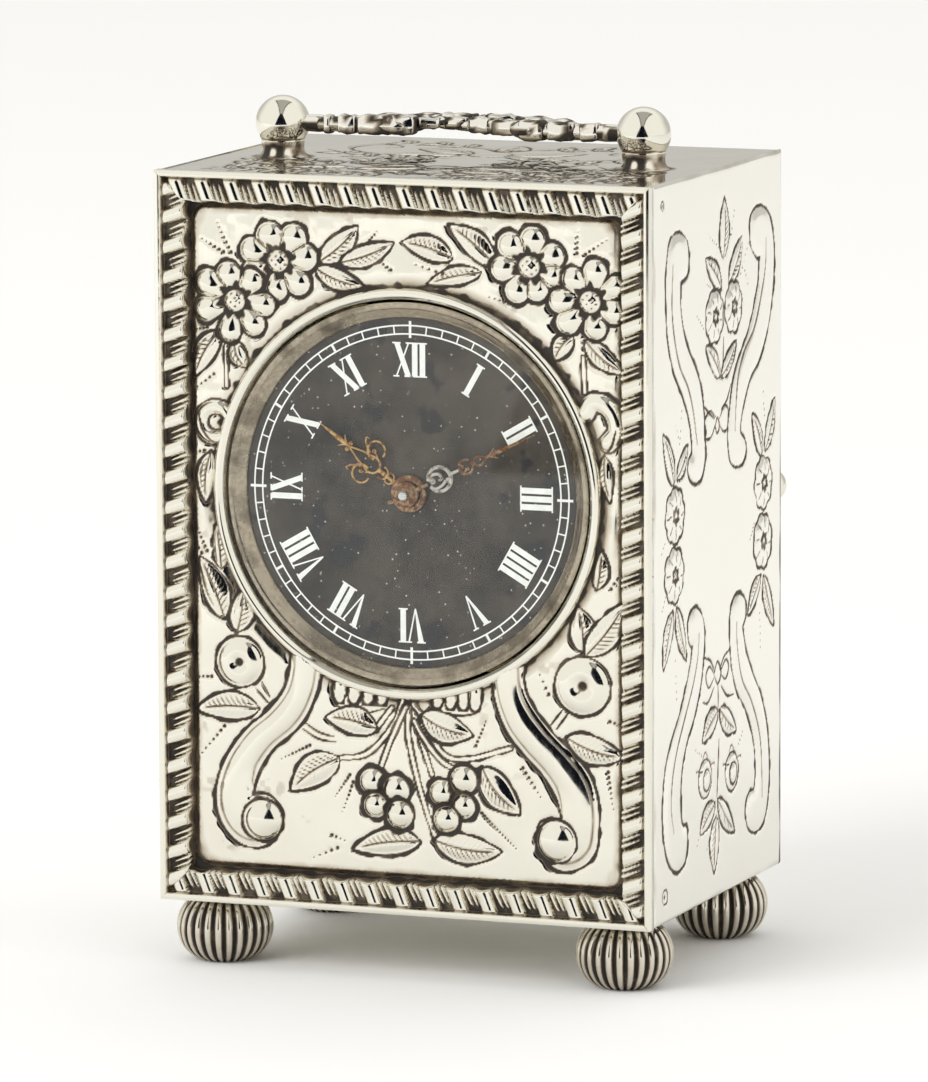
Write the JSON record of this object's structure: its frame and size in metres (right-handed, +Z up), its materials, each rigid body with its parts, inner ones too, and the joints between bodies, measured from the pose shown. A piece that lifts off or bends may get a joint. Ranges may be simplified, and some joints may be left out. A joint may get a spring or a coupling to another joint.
{
  "type": "carriage clock",
  "caption": "Miniature carriage clock with an embossed front, gadrooned border, round glazed dial, folding bail handle, hinged back door and spring-driven lever movement.",
  "frame": {"origin": "on the standing surface, below the middle of the clock's outline", "axes": "+X to the right across the dial, +Y from the dial to the back door, +Z up"},
  "size_m": [0.0594, 0.0506, 0.0975],
  "materials": {
    "silver": "polished silver, oxidised in the recesses",
    "glass": "clear domed glass",
    "gilt_reflector": "dulled gilding",
    "dial_black": "dark matt dial with pale numerals",
    "gilt_hands": "rust-marked gilding",
    "brass": "grained, lacquered",
    "steel": "polished",
    "blued_steel": "blued by heat"
  },
  "bodies": {
    "case": {"case_body": "silver", "front_panel": "silver", "gadroon_border": "silver", "bezel": "silver", "dial_glass": "glass", "reflector_ring": "gilt_reflector", "dial": "dial_black", "left_finial": "silver", "right_finial": "silver", "finial_nuts": "brass", "foot_front_left": "silver", "foot_front_right": "silver", "foot_back_left": "silver", "foot_back_right": "silver", "foot_screws": "blued_steel", "case_hinge_knuckles": "silver", "hinge_pin": "steel", "catch_spring": "steel", "movement_posts": "brass", "movement_screws": "blued_steel", "front_plate": "brass", "back_plate": "brass", "pillars": "brass", "pillar_screws": "blued_steel", "minute_wheel_post": "steel", "click_screw": "blued_steel", "click_spring": "steel", "escape_potence": "brass", "platform": "brass", "platform_screws": "blued_steel", "escape_cock": "brass", "hairspring": "blued_steel", "balance_cock": "brass", "cock_screws": "blued_steel"},
    "bail": {"handle": "silver"},
    "door": {"back_door": "silver", "door_knob": "silver", "door_hinge_knuckles": "silver", "catch_tongue": "brass"},
    "minute_group": {"centre_arbor": "steel", "cannon_pinion": "steel", "minute_hand": "gilt_hands", "hand_collet": "gilt_hands"},
    "centre_group": {"centre_wheel": "brass"},
    "hour_group": {"hour_wheel": "brass", "hour_hand": "gilt_hands"},
    "minute_wheel_group": {"minute_wheel": "brass"},
    "intermediate_group": {"intermediate_wheel": "brass"},
    "barrel": {"barrel_drum": "brass", "barrel_cover": "brass", "mainspring": "blued_steel"},
    "third_group": {"third_wheel": "brass"},
    "fourth_group": {"fourth_wheel": "brass"},
    "escape_group": {"escape_wheel": "steel"},
    "winding_group": {"barrel_arbor": "steel", "ratchet_wheel": "steel"},
    "click_group": {"click": "steel"},
    "lever_group": {"pallet_lever": "steel"},
    "balance_group": {"balance_wheel": "steel"},
    "index_group": {"regulator_index": "steel"}
  },
  "joints": [
    {"name": "handle_swing", "type": "hinge", "parent": "case", "child": "bail", "pos_m": [0, -0.00525, 0.0944], "axis": [1, 0, 0], "range_deg": [0, 180]},
    {"name": "door_swing", "type": "hinge", "parent": "case", "child": "door", "pos_m": [-0.02845, 0.02095, 0.05], "axis": [0, 0, 1], "range_deg": [0, 115]},
    {"name": "minute_arbor_turn", "type": "hinge", "parent": "case", "child": "minute_group", "pos_m": [0, -0.0024, 0.055], "axis": [0, 1, 0], "continuous": true},
    {"name": "hour_wheel_turn", "type": "hinge", "parent": "case", "child": "hour_group", "pos_m": [0, -0.0024, 0.055], "axis": [0, 1, 0], "continuous": true},
    {"name": "minute_wheel_turn", "type": "hinge", "parent": "case", "child": "minute_wheel_group", "pos_m": [0.006, -0.0024, 0.055], "axis": [0, 1, 0], "continuous": true},
    {"name": "centre_wheel_turn", "type": "hinge", "parent": "case", "child": "centre_group", "pos_m": [0, -0.0024, 0.055], "axis": [0, 1, 0], "continuous": true},
    {"name": "intermediate_turn", "type": "hinge", "parent": "case", "child": "intermediate_group", "pos_m": [-0.00716, -0.0024, 0.05173], "axis": [0, 1, 0], "continuous": true},
    {"name": "barrel_turn", "type": "hinge", "parent": "case", "child": "barrel", "pos_m": [0, -0.0024, 0.0444], "axis": [0, 1, 0], "continuous": true},
    {"name": "third_wheel_turn", "type": "hinge", "parent": "case", "child": "third_group", "pos_m": [0.00579, -0.0024, 0.05986], "axis": [0, 1, 0], "continuous": true},
    {"name": "fourth_wheel_turn", "type": "hinge", "parent": "case", "child": "fourth_group", "pos_m": [-0.0001, -0.0024, 0.06326], "axis": [0, 1, 0], "continuous": true},
    {"name": "escape_wheel_turn", "type": "hinge", "parent": "case", "child": "escape_group", "pos_m": [-0.00589, -0.0024, 0.06115], "axis": [0, 1, 0], "continuous": true},
    {"name": "winding_arbor_turn", "type": "hinge", "parent": "case", "child": "winding_group", "pos_m": [0, -0.0024, 0.0444], "axis": [0, 1, 0], "continuous": true},
    {"name": "click_lift", "type": "hinge", "parent": "case", "child": "click_group", "pos_m": [-0.0064, -0.0024, 0.047], "axis": [0, -1, 0], "range_deg": [0, 8], "stiffness_Nm_per_rad": 0.00001, "springref_deg": -11.46},
    {"name": "lever_rock", "type": "hinge", "parent": "case", "child": "lever_group", "pos_m": [-0.00269, -0.0024, 0.06339], "axis": [0, 1, 0], "range_deg": [-4, 4]},
    {"name": "balance_swing", "type": "hinge", "parent": "case", "child": "balance_group", "pos_m": [0.00132, -0.0024, 0.0662], "axis": [0, 1, 0], "range_deg": [-270, 270], "stiffness_Nm_per_rad": 0.0000011},
    {"name": "index_turn", "type": "hinge", "parent": "case", "child": "index_group", "pos_m": [0.00132, -0.0024, 0.0662], "axis": [0, 1, 0], "range_deg": [-18, 18]}
  ],
  "couplings": [
    {"joint": "hour_wheel_turn", "follows": "minute_arbor_turn", "ratio": 0.083333},
    {"joint": "minute_wheel_turn", "follows": "minute_arbor_turn", "ratio": -0.33333},
    {"joint": "centre_wheel_turn", "follows": "fourth_wheel_turn", "ratio": 0.016667},
    {"joint": "third_wheel_turn", "follows": "fourth_wheel_turn", "ratio": -0.13333},
    {"joint": "intermediate_turn", "follows": "fourth_wheel_turn", "ratio": -0.0027778},
    {"joint": "barrel_turn", "follows": "fourth_wheel_turn", "ratio": 0.0003858},
    {"joint": "escape_wheel_turn", "follows": "fourth_wheel_turn", "ratio": -10}
  ]
}
